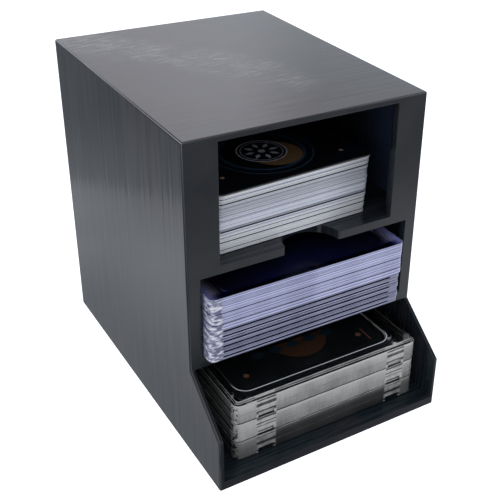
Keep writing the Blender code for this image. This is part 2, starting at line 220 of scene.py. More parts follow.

# Scuffs on top: short raised strokes along the layers, in a band that runs slanting from back to
# front, and a painted sheen over the band
band_place = math(tree, "ADD", product(tree, x, 0.787), product(tree, y, 0.617))
from_band = distance(tree, band_place, SCUFF_AND_SHEEN_BAND_PLACE)
scuff_and_sheen_area = product(tree, ramp(tree, from_band, 17 * MM, 4 * MM, 0.10, 1.0),
                     ramp(tree, cloud(tree, place, 12 * MM), 0.34, 0.56, 0.3, 1.0),
                     ramp(tree, x, 22 * MM, 8 * MM))
scuffs = ramp(tree, cloud(tree, stretch(tree, place, 0.2, 1.3, 1.0), 1.1 * MM, 3.0), 0.46, 0.62)
# A broad painted sheen over the scuff band
painted_sheen_band = product(tree, scuff_and_sheen_area, top_share, SHEEN_BAND_PALENESS)
scuffs = product(tree, scuffs, scuff_and_sheen_area, top_share)

# Relief: the lines and scuffs as bump, and each layer tilted a little its own way
relief = between(tree, front_share, layers, hatch)
relief = math(tree, "ADD", relief, product(tree, scuffs, SCUFF_RELIEF))
bump = put(tree, "ShaderNodeBump", {"Height": relief, "Distance": LAYER_RELIEF, "Strength": 1.0})
tilt = product(tree, math(tree, "SUBTRACT", lines(tree, y, LAYER_BAND, 3.0), 0.5),
               math(tree, "SUBTRACT", 1.0, front_share), 2.0 * LAYER_TILT)
sideways = product(tree, tilt, top_share)
upward = math(tree, "SUBTRACT", tilt, sideways)
tilt = put(tree, "ShaderNodeCombineXYZ", {0: sideways, 2: upward})
bump = put(tree, "ShaderNodeVectorMath", {0: bump, 1: tilt}, operation="ADD")
bump = put(tree, "ShaderNodeVectorMath", {0: bump}, operation="NORMALIZE")
tree.links.new(bump, shader.inputs["Normal"])

# Colour: cool and warm areas, a warmer top left, a plain front, pale lines along the layers and in the
# hatch, scuffs and a painted sheen on top, pale edges, the palest a painted highlight along the top's
# left edge, and a lighter blue painted where the right inner wall of the top room takes the deck's light
near_top = ramp(tree, z, 100 * MM, 110 * MM)
tone = blend_colours(tree, ramp(tree, cloud(tree, place, 34 * MM), 0.44, 0.64), PRINT_COOL, PRINT_WARM)
top_left = product(tree, top_share, ramp(tree, x, 30 * MM, -10 * MM, 0.0, 0.6), near_top)
tone = blend_colours(tree, top_left, tone, PRINT_TOP)
square_share = ramp(tree, squareness, 0.80, 0.90)
plain_share = math(tree, "MAXIMUM", front_share, math(tree, "SUBTRACT", 1.0, square_share))
tone = blend_colours(tree, plain_share, tone, PRINT_FRONT)
pale = math(tree, "ADD", product(tree, layers, math(tree, "SUBTRACT", 1.0, plain_share), LAYER_PALENESS),
            product(tree, hatch, front_share, LAYER_PALENESS))
tone = blend_colours(tree, pale, tone, PRINT_SCUFF_AND_SHEEN)
tone = blend_colours(tree, math(tree, "MAXIMUM", scuffs, painted_sheen_band), tone, PRINT_SCUFF_AND_SHEEN)
tone = blend_colours(tree, edge_share, tone, PRINT_EDGE)
# A painted highlight along the chamfer between the top and the left side
top_left_edge_highlight = product(tree, ramp(tree, facing_x, -0.4, -0.6), ramp(tree, facing_z, 0.4, 0.6), edge_share,
                    near_top)
tone = blend_colours(tree, top_left_edge_highlight, tone, PRINT_EDGE_HIGHLIGHT)
room_wall = product(tree, ramp(tree, z, 73 * MM, 75 * MM), ramp(tree, x, 44.2 * MM, 43.8 * MM),
                    ramp(tree, facing_x, -0.5, -0.8), ramp(tree, x, 40 * MM, 42 * MM),
                    ramp(tree, y, -5 * MM, -35 * MM))
tone = blend_colours(tree, room_wall, tone, PRINT_ROOM)
tree.links.new(tone, shader.inputs["Base Color"])
tree.links.new(ramp(tree, layers, 0.2, 1.4, PRINT_ROUGHNESS - 0.03, PRINT_ROUGHNESS + 0.03),
               shader.inputs["Roughness"])
shader.inputs["IOR"].default_value = PRINT_IOR
shader.inputs["Anisotropic"].default_value = 0.5
across_layers = put(tree, "ShaderNodeCombineXYZ", {0: 0.04, 1: 1.0, 2: -0.04})
tree.links.new(across_layers, shader.inputs["Tangent"])

housing = round_edges(solid_copy("housing", "printed_housing"), HOUSING_EDGE_ROUND)
housing.data.materials.append(charcoal_print)
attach(housing, "housing")
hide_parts("housing")

# Deck: about seventy cards of white board, cut with rounded corners and lying loose on the upper
# shelf, fanned a little to the left and pushed in unevenly. Only their cut edges show, most of
# them a cool lavender grey, with whiter cards at the top and bottom and a few gaps, their cards
# set back and in painted shade.
DECK_CARDS = 71
CARD_WIDTH = 61 * MM
CARD_LENGTH = 88 * MM
CARD_CORNER = 2.5 * MM
CARD_THICKNESS = 0.265 * MM
DECK_FRONT_Y = -38.4 * MM
DECK_LEAN_SHARES = ((0.0, -0.91), (0.25, -0.75), (0.5, -0.59), (0.75, -0.49), (0.9, -0.38), (1.0, -0.24))
DECK_SIDE_ROOM = 2.7 * MM
DECK_TURN = radians(1.9)
DECK_FAN = radians(1.2)
FRONT_JITTER = 0.16 * MM
SIDE_JITTER = 0.25 * MM
BOARD_COOL = (0.64, 0.67, 0.77)
BOARD_WHITE = (0.82, 0.83, 0.85)
BOARD_SHADE = (0.04, 0.04, 0.06)
BOARD_RIGHT_END_LEVEL = 0.62
BOARD_FACE = (0.012, 0.013, 0.02)
BOARD_BORDER = 4.485 * MM
FACE_MARGIN = 1.5 * MM
DECK_SKEW = -0.045
SET_BACK = 2.2 * MM
GAP_SHADE = 0.9
WHITE_BAND_DIMMING = 0.45
# Counted from the bottom: cards set back in a gap with painted shade, and the shares of the height that
# are whiter
DARK_GAP_CARDS = (4, 13, 19, 26, 60, 66)
WHITE_BAND_SHARES = ((0.0, 0.05), (0.06, 0.30), (0.83, 0.85), (0.88, 0.92), (0.96, 1.0))


def new_tree(name, *sizes):
    """A modifier tree with named inputs, and its input and output nodes."""
    made = bpy.data.node_groups.new(name, "GeometryNodeTree")
    made.interface.new_socket("Geometry", in_out="INPUT", socket_type="NodeSocketGeometry")
    for size_name, kind in sizes:
        made.interface.new_socket(size_name, in_out="INPUT", socket_type=kind)
    made.interface.new_socket("Geometry", in_out="OUTPUT", socket_type="NodeSocketGeometry")
    return made, made.nodes.new("NodeGroupInput"), made.nodes.new("NodeGroupOutput")


def run_tree(piece, made, **values):
    """Hangs the tree on the piece, sets its inputs by identifier and turns the result into mesh."""
    modifier = piece.modifiers.new(made.name, "NODES")
    modifier.node_group = made
    sockets = {item.name.lower().replace(" ", "_"): item.identifier
               for item in made.interface.items_tree if item.in_out == "INPUT"}
    for key, value in values.items():
        modifier[sockets[key]] = value
    return settle(piece)


def points_piece(name, places, **attributes):
    """A piece that holds one bare point per place, each with its own named numbers."""
    mesh = bpy.data.meshes.new(name)
    mesh.from_pydata(places, [], [])
    for key, values in attributes.items():
        mesh.attributes.new(key, "FLOAT", "POINT").data.foreach_set("value", values)
    piece = bpy.data.objects.new(name, mesh)
    scene.collection.objects.link(piece)
    return piece


def rounded_plate(tree, width, length, corner, thickness):
    """A flat plate with rounded corners on z = 0, as a branch of a tree."""
    outline = put(tree, "GeometryNodeCurvePrimitiveQuadrilateral", {"Width": width, "Height": length})
    outline = put(tree, "GeometryNodeFilletCurve", {"Curve": outline, "Count": 5, "Radius": corner},
                  mode="POLY")
    bottom = put(tree, "GeometryNodeFillCurve", {"Curve": outline}, mode="NGONS")
    raised = put(tree, "GeometryNodeExtrudeMesh", {"Mesh": bottom, "Offset Scale": thickness,
                                                   "Individual": False})
    turned = put(tree, "GeometryNodeFlipFaces", {"Mesh": bottom})
    both = tree.nodes.new("GeometryNodeJoinGeometry")
    tree.links.new(raised, both.inputs[0])
    tree.links.new(turned, both.inputs[0])
    return put(tree, "GeometryNodeMergeByDistance", {"Geometry": both.outputs[0], "Distance": 0.001 * MM})


cards_tree, given, result = new_tree(
    "loose_cards", ("Width", "NodeSocketFloat"), ("Length", "NodeSocketFloat"),
    ("Corner", "NodeSocketFloat"), ("Thickness", "NodeSocketFloat"),
    ("Side Jitter", "NodeSocketFloat"), ("Seed", "NodeSocketInt"), ("Board", "NodeSocketMaterial"))
card = rounded_plate(cards_tree, given.outputs["Width"], given.outputs["Length"],
                     given.outputs["Corner"], given.outputs["Thickness"])
half_length = math(cards_tree, "MULTIPLY", given.outputs["Length"], 0.5)
to_front = put(cards_tree, "ShaderNodeCombineXYZ", {1: half_length})
card = put(cards_tree, "GeometryNodeTransform", {"Geometry": card, "Translation": to_front})
turn = put(cards_tree, "GeometryNodeInputNamedAttribute", {"Name": "turn"}, data_type="FLOAT")
turn = put(cards_tree, "ShaderNodeCombineXYZ", {2: turn})
stack = put(cards_tree, "GeometryNodeInstanceOnPoints",
            {"Points": given.outputs["Geometry"], "Instance": card, "Rotation": turn})
draw = put(cards_tree, "FunctionNodeRandomValue", {"Seed": given.outputs["Seed"]}, data_type="FLOAT").node
next(s for s in draw.inputs if s.type == "VALUE" and s.name == "Min").default_value = -1.0
shift = next(s for s in draw.outputs if s.type == "VALUE")
shift = math(cards_tree, "MULTIPLY", shift, given.outputs["Side Jitter"])
shift = put(cards_tree, "ShaderNodeCombineXYZ", {0: shift})
stack = put(cards_tree, "GeometryNodeTranslateInstances", {"Instances": stack, "Translation": shift})
stack = put(cards_tree, "GeometryNodeRealizeInstances", {"Geometry": stack})
stack = put(cards_tree, "GeometryNodeSetMaterial",
            {"Geometry": stack, "Material": given.outputs["Board"]})
cards_tree.links.new(stack, result.inputs[0])


def card_number(tree, name):
    """The number of this name that each card was given."""
    return put(tree, "ShaderNodeAttribute", attribute_name=name).node.outputs["Fac"]


def lying(tree):
    """1 where the surface lies flat, 0 where it stands upright."""
    return math(tree, "ABSOLUTE", facing_axes(tree)[2])


white_board, tree, shader = new_material("white_card_board")
place, x, y, z = place_axes(tree)
fibre = ramp(tree, cloud(tree, place, 0.5 * MM, 3.0), 0.3, 0.7, -0.25, 0.25)
whiteness = math(tree, "ADD", card_number(tree, "whiteness"), fibre)
tone = blend_colours(tree, whiteness, BOARD_COOL, BOARD_WHITE)
# Each card's darkness: a random darker tone, or painted shade on a card set back in a gap
tone = blend_colours(tree, card_number(tree, "darkness"), tone, BOARD_SHADE)
# The cards grow darker towards their right ends
darker_to_right = ramp(tree, x, 8 * MM, 27 * MM, 0.0, 1.0 - BOARD_RIGHT_END_LEVEL)
tone = blend_colours(tree, darker_to_right, tone, (0.0, 0.0, 0.0))

# The dark face inside each card's white border, counted from a margin outside the skewed deck, so that
# a card without a border is dark up to its edges
from_line = distance(tree, x, product(tree, y, DECK_SKEW))
inside = math(tree, "SUBTRACT", 0.5 * CARD_WIDTH + FACE_MARGIN, from_line)
inside = math(tree, "MINIMUM", inside, math(tree, "SUBTRACT", y, DECK_FRONT_Y - FACE_MARGIN))
inside = math(tree, "SUBTRACT", inside, card_number(tree, "border"))
printed = product(tree, ramp(tree, inside, 0.0, 0.2 * MM), ramp(tree, lying(tree), 0.9, 0.95))
tone = blend_colours(tree, printed, tone, BOARD_FACE)
tree.links.new(tone, shader.inputs["Base Color"])
shader.inputs["Roughness"].default_value = 0.55

deck_low, deck_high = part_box("deck_packet_01")[0][2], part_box("deck_packet_12")[1][2]
card_pitch = (deck_high - deck_low - CARD_THICKNESS) / (DECK_CARDS - 1)
chance = Random(4)


def lean_share(height_share):
    for (low, first), (high, second) in zip(DECK_LEAN_SHARES, DECK_LEAN_SHARES[1:]):
        if height_share <= high:
            return first + (second - first) * (height_share - low) / (high - low)
    return DECK_LEAN_SHARES[-1][1]


places, turns, whites, darks, borders = [], [], [], [], []
front_shift = 0.0
for index in range(DECK_CARDS):
    share = index / (DECK_CARDS - 1)
    front_shift = 0.6 * front_shift + FRONT_JITTER * chance.uniform(-1, 1)
    in_white = any(low <= share <= high for low, high in WHITE_BAND_SHARES)
    in_gap = index in DARK_GAP_CARDS
    under_gap = index + 1 in DARK_GAP_CARDS
    places.append((lean_share(share) * DECK_SIDE_ROOM,
                   DECK_FRONT_Y + (SET_BACK if in_gap else front_shift),
                   deck_low + index * card_pitch))
    turns.append(DECK_TURN + DECK_FAN * share)
    whites.append(min(1.0, (0.85 if in_white else 0.2) + chance.uniform(-0.25, 0.3)))
    # A card set back in a gap gets painted shade, the others a random darker tone
    own_shade = max(0.0, chance.uniform(-0.45, 0.55)) if not in_gap else GAP_SHADE
    darks.append(WHITE_BAND_DIMMING * own_shade if in_white and not in_gap else own_shade)
    borders.append(0.0 if in_gap or under_gap else BOARD_BORDER + FACE_MARGIN)
deck_cards = points_piece("deck_cards", places, turn=turns, whiteness=whites, darkness=darks,
                          border=borders)
run_tree(deck_cards, cards_tree, width=CARD_WIDTH, length=CARD_LENGTH, corner=CARD_CORNER,
         thickness=CARD_THICKNESS, side_jitter=SIDE_JITTER, seed=7, board=white_board)
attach(deck_cards, "card_deck")
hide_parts(*(f"deck_packet_{n:02d}" for n in range(1, 13)))

# Top card: one loose card with a coated black face, lying on the deck. Its print is a plain
# rosette in thin grey lines over an amber disc, with dark blue arcs round them.
FACE_BLACK = (0.004, 0.004, 0.006)
FACE_BLUE = (0.003, 0.006, 0.014)
PRINT_LIFT = 0.012 * MM
ROSETTE_X, ROSETTE_Y = -2.6 * MM, -17.0 * MM

coated_black, tree, shader = new_material("coated_black_face")
place, x, y, z = place_axes(tree)
tone = blend_colours(tree, ramp(tree, cloud(tree, place, 12 * MM, 3.0), 0.45, 0.7), FACE_BLACK, FACE_BLUE)
tree.links.new(tone, shader.inputs["Base Color"])
coating = ramp(tree, cloud(tree, place, 1.2 * MM, 3.0), 0.3, 0.7, 0.32, 0.42)
tree.links.new(coating, shader.inputs["Roughness"])
shader.inputs["IOR"].default_value = 1.4
top_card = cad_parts["deck_top_card"]
for slot in top_card.material_slots:
    slot.material = coated_black


def scaled(colour, share):
    return tuple(min(1.0, share * part) for part in colour)


def ink(name, colour):
    material, tree, shader = new_material(name)
    place, x, y, z = place_axes(tree)
    grain = ramp(tree, cloud(tree, place, 0.8 * MM, 2.0), 0.3, 0.7)
    tone = blend_colours(tree, grain, scaled(colour, 0.75), colour)
    tree.links.new(tone, shader.inputs["Base Color"])
    shader.inputs["Roughness"].default_value = 0.4
    return material


grey_ink = ink("grey_ink", (0.56, 0.58, 0.64))
amber_ink = ink("amber_ink", (0.20, 0.115, 0.05))
blue_ink = ink("blue_ink", (0.025, 0.06, 0.11))
tan_ink = ink("tan_ink", (0.45, 0.33, 0.22))


def flat_shape(name, outlines, height, material):
    """Flat printed shapes, each a list of points in plan, at one height."""
    shape = bmesh.new()
    for outline in outlines:
        shape.faces.new([shape.verts.new((px, py, height)) for px, py in outline])
    bmesh.ops.recalc_face_normals(shape, faces=shape.faces)
    for face in shape.faces:
        if face.normal.z < 0:
            face.normal_flip()
    mesh = bpy.data.meshes.new(name)
    shape.to_mesh(mesh)
    shape.free()
    mesh.materials.append(material)
    piece = bpy.data.objects.new(name, mesh)
    scene.collection.objects.link(piece)
    return piece


def arc(cx, cy, radius, start, end, steps):
    """Points along an arc, both ends included."""
    angles = [start + (end - start) * step / steps for step in range(steps + 1)]
    return [(cx + radius * cos(angle), cy + radius * sin(angle)) for angle in angles]


def disc(cx, cy, radius, steps=40):
    return arc(cx, cy, radius, 0.0, 2 * pi, steps)[:-1]


def band(inner, outer):
    """The band between two rows of points, as a row of small four-sided outlines."""
    return [[inner[step], outer[step], outer[step + 1], inner[step + 1]]
            for step in range(len(inner) - 1)]


def ring(radius, width):
    """A ring round the rosette's middle."""
    return band(arc(ROSETTE_X, ROSETTE_Y, radius, 0.0, 2 * pi, 48),
                arc(ROSETTE_X, ROSETTE_Y, radius + width, 0.0, 2 * pi, 48))


face_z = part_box("deck_top_card")[1][2]
petals = []
for petal in range(8):
    direction = Vector((cos(petal * pi / 4), sin(petal * pi / 4)))
    across = Vector((-direction.y, direction.x))
    centre = Vector((ROSETTE_X, ROSETTE_Y))
    petals.append([tuple(centre + direction * a * MM + across * b * MM)
                   for a, b in ((2.6, 0.0), (4.4, 0.9), (6.6, 0.0), (4.4, -0.9))])
card_print = (
    flat_shape("top_card_blue_arcs", ring(14.2 * MM, 1.1 * MM) + ring(17.5 * MM, 0.6 * MM),
               face_z + PRINT_LIFT, blue_ink),
    flat_shape("top_card_amber_disc", [disc(ROSETTE_X + 3.2 * MM, ROSETTE_Y - 3.6 * MM, 9.6 * MM)],
               face_z + 2 * PRINT_LIFT, amber_ink),
    flat_shape("top_card_dark_disc", [disc(ROSETTE_X, ROSETTE_Y, 8.4 * MM)],
               face_z + 3 * PRINT_LIFT, coated_black),
    flat_shape("top_card_rosette", ring(8.4 * MM, 0.5 * MM) + ring(7.2 * MM, 0.3 * MM) + petals
               + [disc(ROSETTE_X, ROSETTE_Y, 1.3 * MM, 20)], face_z + 4 * PRINT_LIFT, grey_ink),
    flat_shape("top_card_dots", [disc(21.9 * MM, -29.3 * MM, 0.8 * MM, 20),
                                 disc(-24 * MM, -29.3 * MM, 0.8 * MM, 20)],
               face_z + 2 * PRINT_LIFT, tan_ink),
)
for piece in card_print:
    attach(piece, "deck_top_card")

# Card loaders: twelve rigid sleeves of clear vinyl with a lavender tint. Each is two thin sheets
# welded along both sides and one end, with rounded corners; cut edges and welds scatter light.
# Their rounds carry a painted highlight, their side seams a painted reflection and their left front
# corners painted glints.
LOADER_EDGE_ROUND = 0.06 * MM
LOADER_FULL_THICKNESS = 1.98 * MM
LOADER_MOUTH = 0.6 * MM
LOADER_MIDDLE_X = -1.1 * MM
LOADER_SEAM_START = 33.6 * MM
# The solids' front ends lie a little in front of and behind this line. Here only a share of each step
# stays, and this is how deep the front zone is that moves.
LOADER_FRONT = -49.5 * MM
LOADER_STEP_SHARE = 0.3
LOADER_FRONT_ZONE = 2.5 * MM
VINYL_CLEAR = (0.90, 0.90, 0.99)
VINYL_EDGE = (0.45, 0.47, 0.81)
VINYL_RIM_HIGHLIGHT = (0.68, 0.70, 1.0)
VINYL_SEAM = (0.40, 0.41, 0.85)
VINYL_DEEP = (0.03, 0.03, 0.22)
VINYL_GLINT = (0.88, 0.90, 1.0)
VINYL_CORNER = (0.17, 0.18, 0.30)

clear_vinyl, tree, shader = new_material("clear_vinyl")
place, x, y, z = place_axes(tree)
haze = cloud(tree, place, 7 * MM, 4.0)
tree.links.new(ramp(tree, haze, 0.3, 0.7, 0.05, 0.16), shader.inputs["Roughness"])
tone = blend_colours(tree, ramp(tree, haze, 0.3, 0.7), VINYL_CLEAR, scaled(VINYL_CLEAR, 0.96))
# The welded side seams: frosted lavender, more so on the right as a painted reflection of the room
from_middle = distance(tree, x, LOADER_MIDDLE_X)
seam = product(tree, ramp(tree, from_middle, LOADER_SEAM_START, LOADER_SEAM_START + 4 * MM, 0.1, 1.0),
               ramp(tree, from_middle, LOADER_SEAM_START - 0.3 * MM, LOADER_SEAM_START))
tone = blend_colours(tree, ramp(tree, y, -46.0 * MM, -46.6 * MM), tone, VINYL_DEEP)
tone = blend_colours(tree, seam, tone, VINYL_SEAM)
tree.links.new(tone, shader.inputs["Base Color"])
seam_frost_and_reflection = ramp(tree, x, 10 * MM, -30 * MM, 0.50, 0.28)
clearness = math(tree, "SUBTRACT", 1.0, product(tree, seam, seam_frost_and_reflection))
tree.links.new(clearness, shader.inputs["Transmission Weight"])
shader.inputs["IOR"].default_value = 1.45

welded_vinyl, tree, shader = new_material("welded_vinyl_edge")
place, x, y, z = place_axes(tree)
streak = ramp(tree, lines(tree, z, 0.5 * MM, 2.0), 0.36, 0.64)
along = ramp(tree, lines(tree, x, 14 * MM, 2.0), 0.3, 0.7, -0.15, 0.15)
tone = blend_colours(tree, math(tree, "ADD", streak, along), scaled(VINYL_EDGE, 0.5),
                     scaled(VINYL_EDGE, 1.5))
# Painted glints at the loaders' left front corners, broken into bright and dark patches
glints = ramp(tree, cloud(tree, stretch(tree, place, 0.4, 0.4, 1.0), 1.0 * MM, 3.0), 0.40, 0.62)
corner_tone = blend_colours(tree, glints, VINYL_CORNER, VINYL_GLINT)
at_corner = product(tree, ramp(tree, x, -34.5 * MM, -35.8 * MM), ramp(tree, y, -44 * MM, -46 * MM))
tone = blend_colours(tree, ramp(tree, z, 53 * MM, 52.4 * MM, 0.0, 0.45), tone, (0.0, 0.0, 0.0))
tone = blend_colours(tree, at_corner, tone, corner_tone)
tree.links.new(tone, shader.inputs["Base Color"])
tree.links.new(ramp(tree, streak, 0.0, 1.0, 0.18, 0.3), shader.inputs["Roughness"])
shader.inputs["Transmission Weight"].default_value = 0.1
shader.inputs["IOR"].default_value = 1.45


def painted_highlight_rim(name, colour):
    """The narrow polished round along a clear part's edges, with a painted highlight, dimmed low in the
    tray by painted shade.
    """
    material, tree, shader = new_material(name)
    place, x, y, z = place_axes(tree)
    painted_light = product(tree, ramp(tree, cloud(tree, place, 4 * MM), 0.35, 0.6, 0.55, 1.0),
                    ramp(tree, z, 10.5 * MM, 12.0 * MM, 0.25, 1.0))
    tone = blend_colours(tree, painted_light, (0.0, 0.0, 0.0), colour)
    tree.links.new(tone, shader.inputs["Base Color"])
    shader.inputs["Roughness"].default_value = 0.12
    shader.inputs["Transmission Weight"].default_value = 0.15
    shader.inputs["IOR"].default_value = 1.5
    return material


def dress_clear(piece, *materials, front_only=False, outside_only=False):
    """Clear on the faces that lie flat, frosted with painted light on upright ones, a painted highlight
    on rounds.
    """
    for material in materials:
        piece.data.materials.append(material)
    places = [vertex.co for vertex in piece.data.vertices]
    low, high = ([pick(place[axis] for place in places) for axis in (0, 1)] for pick in (min, max))
    for face in piece.data.polygons:
        inward = min(min(face.center[axis] - low[axis], high[axis] - face.center[axis])
                     for axis in (0, 1))
        outer_side = abs(face.normal.x) > 0.4 and inward < 1 * MM
        stays_clear = front_only and face.normal.y > -0.4 and not outer_side
        stays_clear = stays_clear or (outside_only and inward > 1 * MM)
        lie = abs(face.normal.z)
        upright = 0 if stays_clear else 1
        face.material_index = 0 if lie > 0.92 else (upright if lie < 0.3 else 2)


vinyl_highlight_rim = painted_highlight_rim("bright_vinyl_rim", VINYL_RIM_HIGHLIGHT)
for n in range(1, 13):
    loader = solid_copy(f"toploader_{n:02d}", f"vinyl_loader_{n:02d}")
    low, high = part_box(f"toploader_{n:02d}")
    middle_z = (low[2] + high[2]) / 2
    thickness = high[2] - low[2]
    for vertex in loader.data.vertices:
        rise = vertex.co.z - middle_z
        in_pocket = abs(rise) < 0.35 * thickness
        half = LOADER_MOUTH / 2 if in_pocket else LOADER_FULL_THICKNESS / 2
        vertex.co.z = middle_z + (half if rise > 0 else -half)
        if vertex.co.y < low[1] + LOADER_FRONT_ZONE:
            vertex.co.y -= (1 - LOADER_STEP_SHARE) * (low[1] - LOADER_FRONT)
    round_edges(loader, LOADER_EDGE_ROUND, 1)
    dress_clear(loader, clear_vinyl, welded_vinyl, vinyl_highlight_rim, outside_only=True)
    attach(loader, f"toploader_{n:02d}")
    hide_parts(f"toploader_{n:02d}")

# Loader cards: one card of coated board in each loader, dark navy on its faces, with a paler core at
# its cut edge. It lies loose in the pocket between the loader's two sheets.
NAVY_FACE = (0.008, 0.010, 0.075)
NAVY_DEEP = (0.004, 0.005, 0.035)
NAVY_EDGE = (0.45, 0.45, 0.62)

navy_coated, tree, shader = new_material("navy_coated_card")
place, x, y, z = place_axes(tree)
tone = blend_colours(tree, ramp(tree, cloud(tree, place, 16 * MM, 3.0), 0.35, 0.65), NAVY_DEEP, NAVY_FACE)
tone = blend_colours(tree, ramp(tree, lying(tree), 0.9, 0.5), tone, NAVY_EDGE)
tree.links.new(tone, shader.inputs["Base Color"])
tree.links.new(ramp(tree, cloud(tree, place, 1.5 * MM), 0.3, 0.7, 0.3, 0.42), shader.inputs["Roughness"])
for n in range(1, 13):
    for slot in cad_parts[f"toploader_card_{n:02d}"].material_slots:
        slot.material = navy_coated

# Cases: three clear acrylic cases, each a base with pegs and a lid with a raised middle that nests
# in the hollow under the next base. Their faces are polished; their moulded front edges are slightly
# frosted and carry painted light, with painted shade on the outer sides and the tray's painted shade
# on the lowest case. Their rounds carry a painted highlight.
CASE_EDGE_ROUND = 0.18 * MM
ACRYLIC_CLEAR = (0.97, 0.975, 0.97)
ACRYLIC_EDGE = (0.88, 0.88, 0.83)
ACRYLIC_RIM_HIGHLIGHT = (0.97, 0.98, 0.97)
ACRYLIC_DARK = (0.01, 0.01, 0.012)
CASE_FOOT = 4.0 * MM
CASE_PITCH = 7.8 * MM
LID_REACH_DOWN = 0.28 * MM
CASE_FRONT_Y = -55.8 * MM
LEFT_NOTCH_X, RIGHT_NOTCH_X = -23.9 * MM, 29.9 * MM
NOTCH_HALF_WIDTH = 3.4 * MM
LEFT_END_X, RIGHT_END_X = -26.8 * MM, 33.0 * MM
LEFT_CORNER_X, RIGHT_CORNER_X = -34.4 * MM, 37.6 * MM

clear_acrylic, tree, shader = new_material("clear_acrylic")
place, x, y, z = place_axes(tree)
haze = cloud(tree, place, 5 * MM, 4.0)
tree.links.new(ramp(tree, haze, 0.3, 0.7, 0.02, 0.08), shader.inputs["Roughness"])
tone = blend_colours(tree, ramp(tree, haze, 0.3, 0.7), ACRYLIC_CLEAR, scaled(ACRYLIC_CLEAR, 0.97))
tree.links.new(tone, shader.inputs["Base Color"])
shader.inputs["Transmission Weight"].default_value = 1.0
shader.inputs["IOR"].default_value = 1.49

frosted_acrylic_painted_light, tree, shader = new_material("frosted_acrylic_edge")
place, x, y, z = place_axes(tree)
rise_in_case = math(tree, "DIVIDE", math(tree, "SUBTRACT", z, CASE_FOOT), CASE_PITCH)
height_share = math(tree, "FRACT", rise_in_case)

# Painted light on the fronts: more towards each case's top, with a fine upright grain, a brighter left
# end, a painted shadow in the seam at the foot, a painted highlight near the top and cloudy areas
grain = cloud(tree, stretch(tree, place, 1.0, 1.0, 0.12), 0.6 * MM)
painted_light = ramp(tree, height_share, 0.0, 1.0, 0.42, 0.80)
painted_light = math(tree, "ADD", painted_light, ramp(tree, grain, 0.3, 0.7, -0.05, 0.05))
painted_light = math(tree, "ADD", painted_light, ramp(tree, x, LEFT_END_X, LEFT_END_X - 1.2 * MM, 0.0, 0.26))
painted_light = product(tree, painted_light, ramp(tree, height_share, 0.02, 0.09, 0.4, 1.0))
painted_light = math(tree, "ADD", painted_light, ramp(tree, distance(tree, height_share, 0.92), 0.07, 0.03, 0.0, 0.40))
painted_light = math(tree, "ADD", painted_light, ramp(tree, cloud(tree, place, 15 * MM), 0.35, 0.65, -0.10, 0.14))

# Dark and bright painted bars in the notches, painted glints at the corners and bands of painted
# shade on the side faces
notch_way = math(tree, "MINIMUM", distance(tree, x, LEFT_NOTCH_X), distance(tree, x, RIGHT_NOTCH_X))
in_notch = ramp(tree, notch_way, NOTCH_HALF_WIDTH + 0.8 * MM, NOTCH_HALF_WIDTH)
bars = product(tree, ramp(tree, lines(tree, z, 1.5 * MM), 0.40, 0.52, 0.16, 1.35),
               ramp(tree, cloud(tree, place, 2.2 * MM), 0.35, 0.6, 0.6, 1.0))
painted_light = between(tree, in_notch, painted_light, bars)
in_corner = math(tree, "MAXIMUM", ramp(tree, x, LEFT_CORNER_X, LEFT_CORNER_X - 0.6 * MM),
                 ramp(tree, x, RIGHT_CORNER_X, RIGHT_CORNER_X + 0.8 * MM))
glints = ramp(tree, cloud(tree, place, 1.3 * MM, 3.0), 0.42, 0.56, 0.12, 1.3)
painted_light = between(tree, in_corner, painted_light, glints)
side_bands = ramp(tree, math(tree, "FRACT", product(tree, rise_in_case, 2.0)), 0.1, 0.3, 0.02, 0.30)
painted_light = between(tree, ramp(tree, y, CASE_FRONT_Y, CASE_FRONT_Y + 0.6 * MM), painted_light, side_bands)

# The tray's shade on the lowest case, lighter in its notches and past them
past_notch = math(tree, "MAXIMUM", ramp(tree, x, LEFT_END_X, LEFT_END_X - 0.6 * MM),
                  ramp(tree, x, RIGHT_END_X, RIGHT_END_X + 0.6 * MM))
shade = between(tree, in_notch, between(tree, past_notch, 0.10, 0.36), 0.45)
lowest = ramp(tree, z, CASE_FOOT + CASE_PITCH, CASE_FOOT + CASE_PITCH - 0.3 * MM)
# The painted light times the tray's painted shade, from dark up to the frosted edge colour
streak = product(tree, painted_light, between(tree, lowest, 1.0, shade))
tone = blend_colours(tree, streak, ACRYLIC_DARK, ACRYLIC_EDGE)
tree.links.new(tone, shader.inputs["Base Color"])
tree.links.new(ramp(tree, streak, 0.0, 1.0, 0.1, 0.22), shader.inputs["Roughness"])
shader.inputs["Transmission Weight"].default_value = 0.35
shader.inputs["IOR"].default_value = 1.49
acrylic_highlight_rim = painted_highlight_rim("bright_acrylic_rim", ACRYLIC_RIM_HIGHLIGHT)

CASE_BODIES = {1: ("case_bottom", "case_bottom"), 2: ("case_middle", "case_middle"),
               3: ("case_top", "case_top_lid")}
for n, (base_body, lid_body) in CASE_BODIES.items():
    for kind, body in (("case_base", base_body), ("case_lid", lid_body)):
        part = solid_copy(f"{kind}_{n}", f"acrylic_{kind}_{n}")
        low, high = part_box(f"{kind}_{n}")
        for vertex in part.data.vertices:
            if kind == "case_lid" and vertex.co.z < low[2] + 0.01 * MM:
                vertex.co.z -= LID_REACH_DOWN
        round_edges(part, CASE_EDGE_ROUND, 1)
        dress_clear(part, clear_acrylic, frosted_acrylic_painted_light, acrylic_highlight_rim, front_only=True)
        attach(part, body)
        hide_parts(f"{kind}_{n}")

# Window lip: the polished lip moulded round the window in the top case's lid, of the same clear
# acrylic. It is drawn as a thin painted highlight, the brightest at its front corners.
LIP_WIDTH = 0.32 * MM
LIP_CORNER = 5.0 * MM
LIP_LOW = Vector((-31.65, -54.1)) * MM
LIP_HIGH = Vector((31.2, 34.1)) * MM

